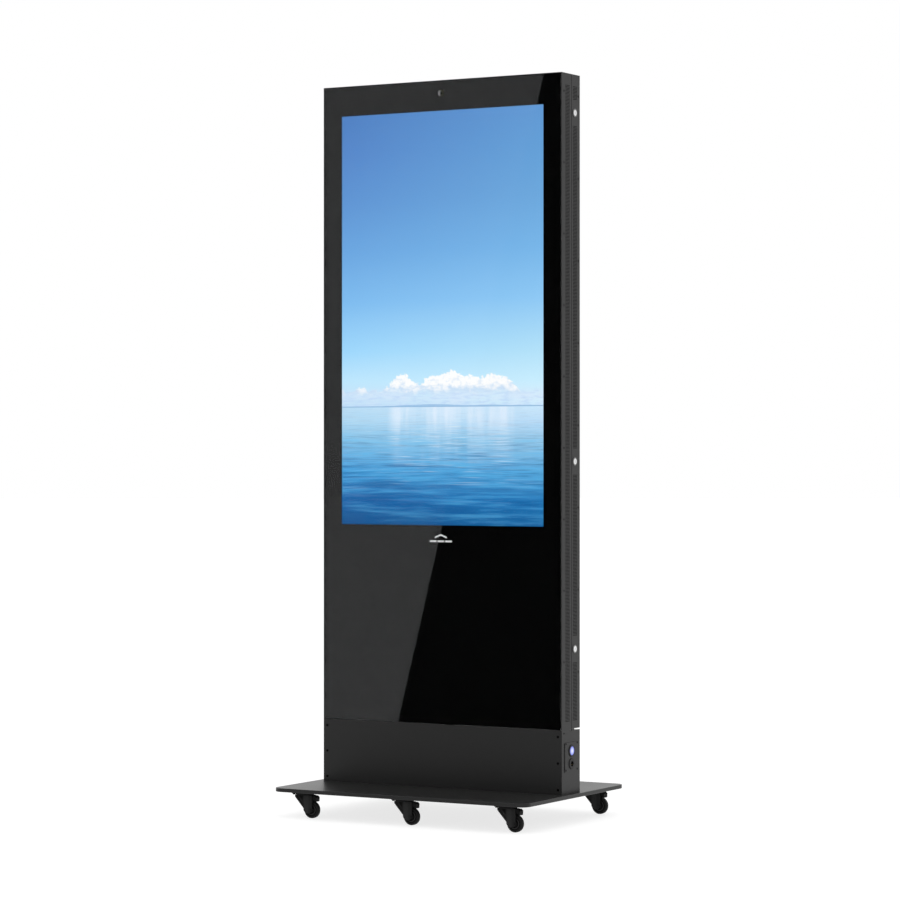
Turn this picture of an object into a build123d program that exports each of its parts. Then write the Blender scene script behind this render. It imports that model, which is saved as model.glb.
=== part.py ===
from build123d import *
import os
from itertools import product
from math import cos, radians, sin, sqrt

# Touchscreen kiosk on a castor base, in millimetres.
# Origin: on the floor, under the middle of the base plate. +Z is up and the glass faces -Y.

# ---------------------------------------------------------------- driving dimensions
CASTOR_H = 76.0  # floor to the underside of the base plate
PLATE_W, PLATE_D, PLATE_T, PLATE_R = 844.0, 611.0, 11.0, 30.0
BODY_W, BODY_D, BODY_H = 804.0, 110.0, 2063.0
SHEET = 2.0  # cabinet sheet steel
DOOR_SHEET = 1.5
GAP = 0.3  # between neighbouring covers
RUNNING = 0.05  # radial clearance of a pin in its hole

PLATE_TOP = CASTOR_H + PLATE_T
TOP = PLATE_TOP + BODY_H
SIDE = BODY_W / 2
INNER = SIDE - SHEET  # inner face of a side panel
FACE_EDGE = INNER - GAP  # edge of the glass and of the plinth covers
FRONT, REAR = -BODY_D / 2, BODY_D / 2

GLASS_T, PRINT_T, TOUCH_T, CELL_T = 6.0, 0.3, 0.6, 2.0
GLASS_BOTTOM = PLATE_TOP + 185.0
SCREEN_W, SCREEN_H = 680.4, 1209.6  # 55 inch portrait picture
SCREEN_Z = PLATE_TOP + 1369.7
CAMERA_Z = PLATE_TOP + 2026.0

SEAM_Y = 2.5  # rear edge of the fixed housing
DOOR_Y = SEAM_Y + 2.0  # front edge of the rear door
DOOR_BOTTOM = GLASS_BOTTOM
PLINTH_TOP = PLATE_TOP + 180.0
STEP_Y = 20.5  # the plinth side is taller in front of this
STEP_TOP = DOOR_BOTTOM - 0.4

LOCK_HEIGHTS = [PLATE_TOP + h for h in (413.0, 951.6, 1953.1)]
LOCK_Y, LOCK_R = 23.4, 9.0
HINGE_X, HINGE_Y = -SIDE - 4.0, SEAM_Y

VENT_LOW, VENT_HIGH = PLATE_TOP + 207.0, PLATE_TOP + 2029.0
VENT_BREAKS = [(z - 38.0, z + 38.0) for z in LOCK_HEIGHTS]
SLOT_W, REAR_SLOT_W, SLOT_H, SLOT_PITCH = 27.0, 26.0, 1.5, 4.0
FRONT_VENT_Y, REAR_VENT_Y = -20.5, 25.0

ACCESS_Y, ACCESS_W = 2.0, 80.0
ACCESS_LOW, ACCESS_HIGH = PLATE_TOP + 62.0, PLATE_TOP + 147.0
ACCESS_FACE = SIDE + 1.5
BUTTON_Z = PLATE_TOP + 122.0
INLET_Z = PLATE_TOP + 85.0

POST_X, POST_Y = (345.0, 370.0), (-27.5, 0.5)
BAR_Y = (-27.5, -7.5)
BAR_HEIGHTS = (320.0, 640.0, 780.0, 1180.0, 1340.0, 1700.0, 2040.0)

CASTOR_X, CASTOR_Y = 338.0, 257.0
CASTORS = {
    "front_left": (-CASTOR_X, -CASTOR_Y),
    "front_middle": (0.0, -CASTOR_Y),
    "front_right": (CASTOR_X, -CASTOR_Y),
    "rear_left": (-CASTOR_X, CASTOR_Y),
    "rear_middle": (0.0, CASTOR_Y),
    "rear_right": (CASTOR_X, CASTOR_Y),
}
WHEEL_R, WHEEL_T, TRAIL = 25.0, 15.0, 25.0

LOW = (Align.MIN, Align.MIN, Align.MIN)
UP = (Align.CENTER, Align.CENTER, Align.MIN)
DOWN = (Align.CENTER, Align.CENTER, Align.MAX)
SIDES = {"left": -1, "right": 1}

os.makedirs("parts", exist_ok=True)


# ---------------------------------------------------------------- helpers
def save(name, piece):
    """Label a finished piece and write it as a STEP file."""
    piece.part.label = name
    export_step(piece.part, f"parts/{name}.step", write_pcurves=False)


def block(x, y, z, mode=Mode.ADD):
    """Add or cut a box between two limits on each axis."""
    with Locations((min(x), min(y), min(z))):
        Box(abs(x[1] - x[0]), abs(y[1] - y[0]), abs(z[1] - z[0]), align=LOW, mode=mode)


def both(low, high):
    """Limits that are the same on both sides of the middle, one pair for each side."""
    return [(side * low, side * high) for side in SIDES.values()]


def facing_side(side, x, y, z):
    """A place on a side face, with its own +Z pointing out of the cabinet."""
    return Location((side * x, y, z), (0, side * 90, 0))


def facing_front(x, y, z):
    """A place on the front, with its own +Z pointing towards the viewer."""
    return Location((x, y, z), (90, 0, 0))


def facing_rear(x, y, z):
    """A place on the rear, with its own +Z pointing backwards."""
    return Location((x, y, z), (-90, 0, 0))


def bore(places, radius, depth, above=0.0):
    """Cut round holes down from the given places, starting a little above them."""
    with Locations(*[place * Location((0, 0, above)) for place in places]):
        Cylinder(radius, depth + above, align=DOWN, mode=Mode.SUBTRACT)


def slot_rows(low, high):
    """Heights of the vent slots between two limits."""
    count = int((high - low - SLOT_H) // SLOT_PITCH) + 1
    first = (low + high - (count - 1) * SLOT_PITCH) / 2
    return [first + SLOT_PITCH * i for i in range(count)]


def broken_rows():
    """Slot heights of a vent that stops at each lock or hinge."""
    starts = [VENT_LOW] + [high for low, high in VENT_BREAKS]
    ends = [low for low, high in VENT_BREAKS] + [VENT_HIGH]
    return [z for low, high in zip(starts, ends) for z in slot_rows(low, high)]


def lock_place(x, z):
    """A place on a lock's axis, with its own +Z pointing out of the right side."""
    return Location((x, LOCK_Y, z), (0, 90, 0))


# ---------------------------------------------------------------- base plate
BOLT_OFFSET = 23.0
BOLT_R, BOLT_GRIP = 2.5, 8.0
FOOT_BOLT_R, FOOT_BOLT_GRIP = 4.0, 8.0
FOOT_BOLT_X = 385.0
castor_bolt_places = [
    Location((x + dx, y + dy, CASTOR_H))
    for x, y in CASTORS.values()
    for dx in (-BOLT_OFFSET, BOLT_OFFSET)
    for dy in (-BOLT_OFFSET, BOLT_OFFSET)
]
foot_bolt_places = [
    Location((side * FOOT_BOLT_X, y, PLATE_TOP))
    for side in SIDES.values()
    for y in (-40.0, -13.5, 13.5, 40.0)
]

with BuildPart() as base_plate:
    with BuildSketch(Plane.XY.offset(CASTOR_H)):
        RectangleRounded(PLATE_W, PLATE_D, PLATE_R)
    extrude(amount=PLATE_T)
    chamfer(base_plate.faces().filter_by(Axis.Z).edges(), length=0.8)
    with Locations(*castor_bolt_places):
        Cylinder(BOLT_R + RUNNING, BOLT_GRIP + 0.5, align=UP, mode=Mode.SUBTRACT)
    bore(foot_bolt_places, FOOT_BOLT_R + RUNNING, FOOT_BOLT_GRIP + 0.5)
save("base_plate", base_plate)

# ---------------------------------------------------------------- small screws
HEAD_R, HEAD_H, SMALL_SHANK_R, SMALL_SHANK_L = 3.0, 1.2, 1.5, 6.0
FRONT_ROW_Y, REAR_ROW_Y = FRONT + 13.0, REAR - 10.0
FRONT_ROW = [PLATE_TOP + 174.5 + 204.0 * n for n in range(10)]
REAR_ROW = [PLATE_TOP + 2002.0 - 236.6 * n for n in range(8)]
ACCESS_SCREWS = [
    (ACCESS_Y + dy, z) for dy in (-34.25, 34.25) for z in (ACCESS_LOW + 6.0, ACCESS_HIGH - 3.5)
]


def flush_screw(shank_length):
    """A small screw whose flat head lies flush: head down from z = 0, with a hex socket."""
    with BuildPart() as screw:
        Cylinder(HEAD_R, HEAD_H, align=DOWN)
        with Locations((0, 0, -HEAD_H)):
            Cylinder(SMALL_SHANK_R, shank_length, align=DOWN)
        with BuildSketch(Plane.XY):
            RegularPolygon(1.3, 6)
        extrude(amount=-0.9, mode=Mode.SUBTRACT)
    return screw.part


def sink(places, depth):
    """Cut the flush seat and the hole of small screws at their places."""
    bore(places, HEAD_R + 0.1, HEAD_H)
    bore(places, SMALL_SHANK_R + RUNNING, depth)


def button_screw(head_radius, head_height, shank_radius, shank_length):
    """A domed-head screw: head up from z = 0, shank down, with a hex socket."""
    with BuildPart() as screw:
        Cylinder(head_radius, head_height, align=UP)
        fillet(screw.edges().group_by(Axis.Z)[-1], radius=head_height * 0.7)
        Cylinder(shank_radius, shank_length, align=DOWN)
        with BuildSketch(Plane.XY.offset(head_height)):
            RegularPolygon(head_radius * 0.4, 6)
        extrude(amount=-head_height * 0.6, mode=Mode.SUBTRACT)
    return screw.part


def hex_bolt(head_radius, head_height, shank_radius, shank_length):
    """A hexagon bolt: head up from z = 0, shank down."""
    with BuildPart() as bolt:
        with BuildSketch(Plane.XY):
            RegularPolygon(head_radius, 6)
        extrude(amount=head_height)
        Cylinder(shank_radius, shank_length, align=DOWN)
    return bolt.part


front_row_places = [
    facing_side(side, SIDE, FRONT_ROW_Y, z) for side in SIDES.values() for z in FRONT_ROW
]
access_places = [facing_side(1, ACCESS_FACE, y, z) for y, z in ACCESS_SCREWS]
rear_row_places = [
    facing_side(side, SIDE, REAR_ROW_Y, z) for side in SIDES.values() for z in REAR_ROW
]

with BuildPart() as side_screws:
    with Locations(*front_row_places, *access_places):
        add(flush_screw(SMALL_SHANK_L))
save("side_screws", side_screws)

with BuildPart() as door_screws:
    with Locations(*rear_row_places):
        add(flush_screw(SMALL_SHANK_L))
save("door_screws", door_screws)

# ---------------------------------------------------------------- side panels
RETURN_W = 20.0
FOOT_FLANGE_W = 30.0
LANDING_X = POST_X[0] + 5.0  # inner edge of the flange that the door closes on
COVER_SCREW_X = 389.4
COVER_SCREW_HEIGHTS = [PLATE_TOP + h for h in (13.8, 89.6, 165.4)]
COVER_SHANK_R = 2.0
SHELF_LOW = PLINTH_TOP - SHEET
RELIEF_HOLE = (SEAM_Y + 1.0, PLATE_TOP + 181.0)
RELIEF_R = 2.8
ACCESS_CUT_Y = (ACCESS_Y - 26.0, ACCESS_Y + 26.0)
ACCESS_CUT_Z = (INLET_Z - 14.0, BUTTON_Z + 16.0)

cover_front_places = [
    facing_front(side * COVER_SCREW_X, FRONT, z)
    for side in SIDES.values()
    for z in COVER_SCREW_HEIGHTS
]
cover_rear_places = [
    facing_rear(side * COVER_SCREW_X, REAR, z)
    for side in SIDES.values()
    for z in COVER_SCREW_HEIGHTS
]

for hand, side in SIDES.items():
    vent_rows = slot_rows(VENT_LOW, VENT_HIGH) if side > 0 else broken_rows()
    with BuildPart() as side_panel:
        with BuildSketch(Plane.YZ.offset(side * SIDE)):
            with BuildLine():
                Polyline(
                    (FRONT, PLATE_TOP),
                    (REAR, PLATE_TOP),
                    (REAR, PLINTH_TOP),
                    (STEP_Y, PLINTH_TOP),
                    (STEP_Y, STEP_TOP),
                    (SEAM_Y, STEP_TOP),
                    (SEAM_Y, TOP),
                    (FRONT, TOP),
                    close=True,
                )
            make_face()
            with Locations(RELIEF_HOLE):
                Circle(RELIEF_R, mode=Mode.SUBTRACT)
        extrude(amount=-side * SHEET)
        foot = (side * (INNER - FOOT_FLANGE_W), side * INNER)
        edge = (side * (INNER - RETURN_W), side * INNER)
        block(foot, (FRONT + 4, REAR - 4), (PLATE_TOP, PLATE_TOP + SHEET))
        block(edge, (FRONT + SHEET, FRONT + 2 * SHEET), (PLATE_TOP, SHELF_LOW))
        block(edge, (REAR - 2 * SHEET, REAR - SHEET), (PLATE_TOP, SHELF_LOW))
        block((side * LANDING_X, side * INNER), (SEAM_Y - SHEET, SEAM_Y), (PLINTH_TOP, TOP - SHEET))
        bore(foot_bolt_places, FOOT_BOLT_R + RUNNING, SHEET, above=SHEET)
        bore(cover_front_places, COVER_SHANK_R + RUNNING, 3 * SHEET)
        bore(cover_rear_places, COVER_SHANK_R + RUNNING, 3 * SHEET)
        sink([place for place in front_row_places if place.position.X * side > 0], 2 * SHEET)
        if side > 0:
            bore(access_places, SMALL_SHANK_R + RUNNING, 5.0)
            block((INNER - 1, SIDE + 1), ACCESS_CUT_Y, ACCESS_CUT_Z, mode=Mode.SUBTRACT)
        with BuildSketch(Plane.YZ.offset(side * SIDE)):
            with Locations(*[(FRONT_VENT_Y, z) for z in vent_rows]):
                Rectangle(SLOT_W, SLOT_H)
        extrude(amount=-side * SHEET, mode=Mode.SUBTRACT)
    save(f"side_panel_{hand}", side_panel)

# ---------------------------------------------------------------- top, shelf and plinth covers
with BuildPart() as top_panel:
    block((-INNER, INNER), (FRONT, SEAM_Y), (TOP - SHEET, TOP))
save("top_panel", top_panel)

CABLE_HOLE_R = 25.0
SHELF_FLANGE_LOW = SHELF_LOW - 17.0
with BuildPart() as plinth_shelf:
    block((-INNER, INNER), (FRONT + 4, REAR - 4), (SHELF_LOW, PLINTH_TOP))
    for limits in both(INNER - SHEET, INNER):
        block(limits, (FRONT + 6, REAR - 6), (SHELF_FLANGE_LOW, SHELF_LOW))
    for low, high in both(POST_X[0] - GAP, POST_X[1] + GAP):
        limits = (POST_Y[0] - GAP, POST_Y[1] + GAP)
        block((low, high), limits, (SHELF_LOW - 1, TOP), mode=Mode.SUBTRACT)
    with Locations((0, ACCESS_Y, PLINTH_TOP)):
        Cylinder(CABLE_HOLE_R, 3 * SHEET, mode=Mode.SUBTRACT)
    bore(front_row_places, SMALL_SHANK_R + RUNNING, HEAD_H + SMALL_SHANK_L + GAP)
save("plinth_shelf", plinth_shelf)

COVER_HEAD_R, COVER_HEAD_H = 3.5, 1.6
COVER_SHANK_L = 8.0
with BuildPart() as plinth_front_cover:
    heights = (PLATE_TOP + GAP, GLASS_BOTTOM - 0.6)
    block((-FACE_EDGE, FACE_EDGE), (FRONT, FRONT + SHEET), heights)
    bore(cover_front_places, COVER_SHANK_R + RUNNING, SHEET)
save("plinth_front_cover", plinth_front_cover)

with BuildPart() as plinth_rear_cover:
    heights = (PLATE_TOP + GAP, PLINTH_TOP)
    block((-FACE_EDGE, FACE_EDGE), (REAR - SHEET, REAR), heights)
    bore(cover_rear_places, COVER_SHANK_R + RUNNING, SHEET)
save("plinth_rear_cover", plinth_rear_cover)

with BuildPart() as plinth_cover_screws:
    with Locations(*cover_front_places, *cover_rear_places):
        add(button_screw(COVER_HEAD_R, COVER_HEAD_H, COVER_SHANK_R, COVER_SHANK_L))
save("plinth_cover_screws", plinth_cover_screws)

with BuildPart() as foot_bolts:
    with Locations(*[place * Location((0, 0, SHEET)) for place in foot_bolt_places]):
        add(hex_bolt(7.0, 5.0, FOOT_BOLT_R, FOOT_BOLT_GRIP + SHEET))
save("foot_bolts", foot_bolts)

# ---------------------------------------------------------------- frame
WALL = 2.0
with BuildPart() as frame_posts:
    for low, high in both(*POST_X):
        block((low, high), POST_Y, (PLATE_TOP, TOP - SHEET))
        inner_x = (min(low, high) + WALL, max(low, high) - WALL)
        inner_y = (POST_Y[0] + WALL, POST_Y[1] - WALL)
        block(inner_x, inner_y, (PLATE_TOP, TOP), mode=Mode.SUBTRACT)
save("frame_posts", frame_posts)

BAR_H = 40.0
with BuildPart() as frame_crossbars:
    for z in BAR_HEIGHTS:
        ends = (-POST_X[0], POST_X[0])
        block(ends, BAR_Y, (z - BAR_H / 2, z + BAR_H / 2))
        hollow_y = (BAR_Y[0] + WALL, BAR_Y[1] - WALL)
        hollow_z = (z - BAR_H / 2 + WALL, z + BAR_H / 2 - WALL)
        block(ends, hollow_y, hollow_z, mode=Mode.SUBTRACT)
save("frame_crossbars", frame_crossbars)

# ---------------------------------------------------------------- glass and display
GLASS_BACK = FRONT + GLASS_T
PRINT_BACK = GLASS_BACK + PRINT_T
TOUCH_BACK = PRINT_BACK + TOUCH_T
CELL_BACK = TOUCH_BACK + CELL_T
GLASS_TOP = TOP - SHEET - GAP
CAMERA_WINDOW_R = 11.8


def around_screen(margin):
    """Limits in x and in z of a rectangle that is larger than the picture by a margin."""
    half_w, half_h = SCREEN_W / 2 + margin, SCREEN_H / 2 + margin
    return (-half_w, half_w), (SCREEN_Z - half_h, SCREEN_Z + half_h)


with BuildPart() as front_glass:
    block((-FACE_EDGE, FACE_EDGE), (FRONT, GLASS_BACK), (GLASS_BOTTOM, GLASS_TOP))
    chamfer(front_glass.faces().sort_by(Axis.Y)[0].edges(), length=0.4)
save("front_glass", front_glass)

with BuildPart() as glass_border:
    block((-FACE_EDGE, FACE_EDGE), (GLASS_BACK, PRINT_BACK), (GLASS_BOTTOM, GLASS_TOP))
    window_x, window_z = around_screen(0)
    block(window_x, (GLASS_BACK - 1, PRINT_BACK + 1), window_z, mode=Mode.SUBTRACT)
    bore([facing_front(0, GLASS_BACK, CAMERA_Z)], CAMERA_WINDOW_R, 2.0, above=1.0)
save("glass_border", glass_border)

ANGLE_BACK = PRINT_BACK + SHEET
ANGLE_IN = 376.0
with BuildPart() as glass_frame:
    for side in SIDES.values():
        face = (side * ANGLE_IN, side * INNER)
        leg = (side * (INNER - SHEET), side * INNER)
        block(face, (PRINT_BACK, ANGLE_BACK), (GLASS_BOTTOM, TOP - SHEET))
        block(leg, (PRINT_BACK, FRONT_ROW_Y + 6), (GLASS_BOTTOM, TOP - SHEET))
    middle = (-ANGLE_IN, ANGLE_IN)
    block(middle, (PRINT_BACK, ANGLE_BACK), (TOP - SHEET - 14, TOP - SHEET))
    block(middle, (PRINT_BACK, FRONT_ROW_Y + 6), (TOP - 2 * SHEET, TOP - SHEET))
    block(middle, (PRINT_BACK, ANGLE_BACK), (GLASS_BOTTOM, GLASS_BOTTOM + 28))
    block(middle, (PRINT_BACK, FRONT_ROW_Y + 6), (GLASS_BOTTOM, GLASS_BOTTOM + SHEET))
    bore(front_row_places, SMALL_SHANK_R + RUNNING, 2 * SHEET + 1)
save("glass_frame", glass_frame)

with BuildPart() as touch_sensor:
    film_x, film_z = around_screen(18.0)
    block(film_x, (PRINT_BACK, TOUCH_BACK), film_z)
save("touch_sensor", touch_sensor)

with BuildPart() as lcd_panel:
    cell_x, cell_z = around_screen(9.0)
    block(cell_x, (TOUCH_BACK, CELL_BACK), cell_z)
save("lcd_panel", lcd_panel)

TRAY_WALL = 1.5
with BuildPart() as backlight_tray:
    tray_x, tray_z = around_screen(11.0)
    block(tray_x, (CELL_BACK, BAR_Y[0]), tray_z)
    hollow_x, hollow_z = around_screen(11.0 - TRAY_WALL)
    block(hollow_x, (CELL_BACK, BAR_Y[0] - TRAY_WALL), hollow_z, mode=Mode.SUBTRACT)
save("backlight_tray", backlight_tray)

# ---------------------------------------------------------------- camera
LENS_BACK = GLASS_BACK + 2.6
with BuildPart() as camera_lens:
    with BuildSketch(Plane.YZ):
        with BuildLine():
            Polyline(
                (GLASS_BACK + 0.3, CAMERA_Z + 7.5),
                (GLASS_BACK + 0.3, CAMERA_Z + 11.0),
                (LENS_BACK, CAMERA_Z + 11.0),
                (LENS_BACK, CAMERA_Z),
                (GLASS_BACK + 0.9, CAMERA_Z),
                (GLASS_BACK + 1.3, CAMERA_Z + 3.2),
                (GLASS_BACK + 2.0, CAMERA_Z + 3.6),
                (GLASS_BACK + 1.4, CAMERA_Z + 6.8),
                close=True,
            )
        make_face()
    revolve(axis=Axis((0, 0, CAMERA_Z), (0, 1, 0)))
save("camera_lens", camera_lens)

with BuildPart() as camera_body:
    block((-19, 19), (LENS_BACK, LENS_BACK + 12), (CAMERA_Z - 11, CAMERA_Z + 11))
    block((-8, 8), (ANGLE_BACK, ANGLE_BACK + 2), (CAMERA_Z + 11, TOP - 2 * SHEET))
save("camera_body", camera_body)

# ---------------------------------------------------------------- electronics
with BuildPart() as media_player:
    block((-115, 95), (BAR_Y[1], BAR_Y[1] + 38), (622, 798))
    fillet(media_player.edges().filter_by(Axis.Y), radius=6)
    for z in range(650, 771, 12):
        block((-80, 60), (BAR_Y[1] + 36.5, BAR_Y[1] + 39), (z, z + 4), mode=Mode.SUBTRACT)
save("media_player", media_player)

with BuildPart() as power_supply:
    block((150, 265), (BAR_Y[1], BAR_Y[1] + 30), (1162, 1358))
    chamfer(power_supply.edges().filter_by(Axis.Y), length=2)
    for z in range(1184, 1337, 8):
        block((170, 245), (BAR_Y[1] + 28.5, BAR_Y[1] + 31), (z, z + 3), mode=Mode.SUBTRACT)
save("power_supply", power_supply)

# ---------------------------------------------------------------- access plate
BUTTON_R, BEZEL_R, BEZEL_BODY_R = 13.0, 17.5, 14.8
INLET_R, INLET_BODY_R, INLET_RECESS_R, INLET_DEPTH = 16.0, 10.5, 7.7, 12.0
RIM = 2.0
with BuildPart() as access_plate:
    with BuildSketch(Plane.YZ.offset(SIDE)):
        with Locations((ACCESS_Y, (ACCESS_LOW + ACCESS_HIGH) / 2)):
            RectangleRounded(ACCESS_W, ACCESS_HIGH - ACCESS_LOW, 3.0)
        with Locations((ACCESS_Y, BUTTON_Z)):
            Circle(BEZEL_BODY_R + RUNNING, mode=Mode.SUBTRACT)
        with Locations((ACCESS_Y, INLET_Z)):
            Circle(INLET_BODY_R + RUNNING, mode=Mode.SUBTRACT)
    extrude(amount=ACCESS_FACE - SIDE)
    sink(access_places, 2.0)
save("access_plate", access_plate)

button_face = Plane.YZ.offset(ACCESS_FACE)
with BuildPart() as button_bezel:
    with BuildSketch(button_face):
        with Locations((ACCESS_Y, BUTTON_Z)):
            Circle(BEZEL_R)
    extrude(amount=RIM)
    fillet(button_bezel.edges().group_by(Axis.X)[-1], radius=1.2)
    with BuildSketch(button_face):
        with Locations((ACCESS_Y, BUTTON_Z)):
            Circle(BEZEL_BODY_R)
    extrude(amount=-20.5)
    bore([facing_side(1, ACCESS_FACE + RIM, ACCESS_Y, BUTTON_Z)], BUTTON_R + 0.1, RIM + 18.5)
save("button_bezel", button_bezel)

CAP_L = 14.5
with BuildPart() as power_button:
    with Locations(facing_side(1, ACCESS_FACE + RIM - 0.2, ACCESS_Y, BUTTON_Z)):
        Cylinder(BUTTON_R, CAP_L, align=DOWN)
    fillet(power_button.edges().group_by(Axis.X)[-1], radius=1.0)
save("power_button", power_button)

PIN_CIRCLE_R, PIN_R = 5.2, 0.8
pin_places = [
    (ACCESS_Y + PIN_CIRCLE_R * sin(radians(a)), INLET_Z + PIN_CIRCLE_R * cos(radians(a)))
    for a in (0, 120, 240)
]
with BuildPart() as power_inlet:
    with BuildSketch(button_face):
        with Locations((ACCESS_Y, INLET_Z)):
            Circle(INLET_R)
    extrude(amount=RIM)
    fillet(power_inlet.edges().group_by(Axis.X)[-1], radius=1.0)
    with BuildSketch(button_face):
        with Locations((ACCESS_Y, INLET_Z)):
            Circle(INLET_BODY_R)
    extrude(amount=-18.5)
    bore([facing_side(1, ACCESS_FACE + RIM, ACCESS_Y, INLET_Z)], INLET_RECESS_R, INLET_DEPTH)
    bore([facing_side(1, ACCESS_FACE, y, z) for y, z in pin_places], PIN_R + RUNNING, 19.0)
save("power_inlet", power_inlet)

with BuildPart() as inlet_pins:
    with Locations(*[facing_side(1, ACCESS_FACE - 1.0, y, z) for y, z in pin_places]):
        Cylinder(PIN_R, 20.0, align=DOWN)
    fillet(inlet_pins.edges().group_by(Axis.X)[-1], radius=0.5)
save("inlet_pins", inlet_pins)

# ---------------------------------------------------------------- rear door
DOOR_IN = SIDE - DOOR_SHEET
DOOR_RETURN = 14.0
with BuildPart() as door_frame:
    with BuildSketch(Plane.XZ.offset(-DOOR_Y)):
        with Locations((0, (DOOR_BOTTOM + TOP) / 2)):
            Rectangle(2 * SIDE, TOP - DOOR_BOTTOM)
            Rectangle(2 * DOOR_IN, TOP - DOOR_BOTTOM - 2 * DOOR_SHEET, mode=Mode.SUBTRACT)
    extrude(amount=-(REAR - DOOR_Y))
    with BuildSketch(Plane.XZ.offset(-DOOR_Y)):
        with Locations((0, (DOOR_BOTTOM + TOP) / 2)):
            Rectangle(2 * SIDE, TOP - DOOR_BOTTOM)
            inset = 2 * (DOOR_RETURN + DOOR_SHEET)
            Rectangle(2 * SIDE - inset, TOP - DOOR_BOTTOM - inset, mode=Mode.SUBTRACT)
    extrude(amount=-DOOR_SHEET)
    sink(rear_row_places, 2.0)
    bore([lock_place(SIDE, z) for z in LOCK_HEIGHTS], LOCK_R + RUNNING, 4.0, above=1.0)
    with BuildSketch(*[Plane.YZ.offset(x) for x in (-SIDE, DOOR_IN)]):
        with Locations(*[(REAR_VENT_Y, z) for z in broken_rows()]):
            Rectangle(REAR_SLOT_W, SLOT_H)
    extrude(amount=DOOR_SHEET, mode=Mode.SUBTRACT)
save("door_frame", door_frame)

FOLD_Y = REAR - DOOR_SHEET - 15.0
with BuildPart() as door_back_panel:
    inner_x = (-DOOR_IN, DOOR_IN)
    inner_z = (DOOR_BOTTOM + DOOR_SHEET, TOP - DOOR_SHEET)
    block(inner_x, (FOLD_Y, REAR), inner_z)
    hollow_x = (-DOOR_IN + DOOR_SHEET, DOOR_IN - DOOR_SHEET)
    hollow_z = (inner_z[0] + DOOR_SHEET, inner_z[1] - DOOR_SHEET)
    block(hollow_x, (FOLD_Y, REAR - DOOR_SHEET), hollow_z, mode=Mode.SUBTRACT)
    bore(rear_row_places, SMALL_SHANK_R + RUNNING, 5.0)
save("door_back_panel", door_back_panel)

# ---------------------------------------------------------------- hinges, on the left side
LEAF_T, LEAF_H, LEAF_W = 2.0, 60.0, 22.0
KNUCKLE_R, HINGE_PIN_R = 3.7, 2.0
KNUCKLE_CLEAR = KNUCKLE_R + GAP
LEAF_X = (-SIDE - LEAF_T, -SIDE)


def hinge_leaf(middle, towards, knuckle):
    """A leaf beside the hinge line (towards -1 or +1 in y) with its knuckle between two heights."""
    near, far = HINGE_Y + towards * KNUCKLE_CLEAR, HINGE_Y + towards * (KNUCKLE_CLEAR + LEAF_W)
    block(LEAF_X, (near, far), (middle - LEAF_H / 2, middle + LEAF_H / 2))
    block(LEAF_X, (HINGE_Y, near), knuckle)
    with Locations((HINGE_X, HINGE_Y, knuckle[0])):
        Cylinder(KNUCKLE_R, knuckle[1] - knuckle[0], align=UP)


with BuildPart() as housing_hinges:
    for height in LOCK_HEIGHTS:
        hinge_leaf(height, -1, (height - LEAF_H / 2, height - GAP))
        with Locations((HINGE_X, HINGE_Y, height - GAP)):
            Cylinder(HINGE_PIN_R, LEAF_H / 2 - 2, align=UP)
save("housing_hinges", housing_hinges)

with BuildPart() as door_hinges:
    for height in LOCK_HEIGHTS:
        hinge_leaf(height, 1, (height + GAP, height + LEAF_H / 2))
        with Locations((HINGE_X, HINGE_Y, height)):
            Cylinder(HINGE_PIN_R + RUNNING, LEAF_H / 2 - 1, align=UP, mode=Mode.SUBTRACT)
save("door_hinges", door_hinges)

# ---------------------------------------------------------------- cam locks, on the right side
LOCK_FLANGE_R, LOCK_FLANGE_T, PLUG_R, STUB_R = 12.0, 2.0, 6.0, 4.0
LOCK_END = SIDE - 26.0
CAM_X = (LOCK_END - 3.0, LOCK_END - 0.4)
CAM_REACH, CAM_W = 19.0, 12.0

with BuildPart() as lock_bodies:
    for height in LOCK_HEIGHTS:
        with Locations(lock_place(SIDE, height)):
            Cylinder(LOCK_FLANGE_R, LOCK_FLANGE_T, align=UP)
    fillet(lock_bodies.edges().group_by(Axis.X)[-1], radius=1.2)
    for height in LOCK_HEIGHTS:
        with Locations(lock_place(SIDE, height)):
            Cylinder(LOCK_R, SIDE - LOCK_END, align=DOWN)
        bore([lock_place(SIDE, height)], PLUG_R + RUNNING, SIDE - LOCK_END, above=LOCK_FLANGE_T)
    with BuildSketch(Plane.YZ.offset(DOOR_IN)):
        with Locations(*[(LOCK_Y, height) for height in LOCK_HEIGHTS]):
            RegularPolygon(12.5, 6)
            Circle(LOCK_R + RUNNING, mode=Mode.SUBTRACT)
    extrude(amount=-4.0)
save("lock_bodies", lock_bodies)

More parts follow.
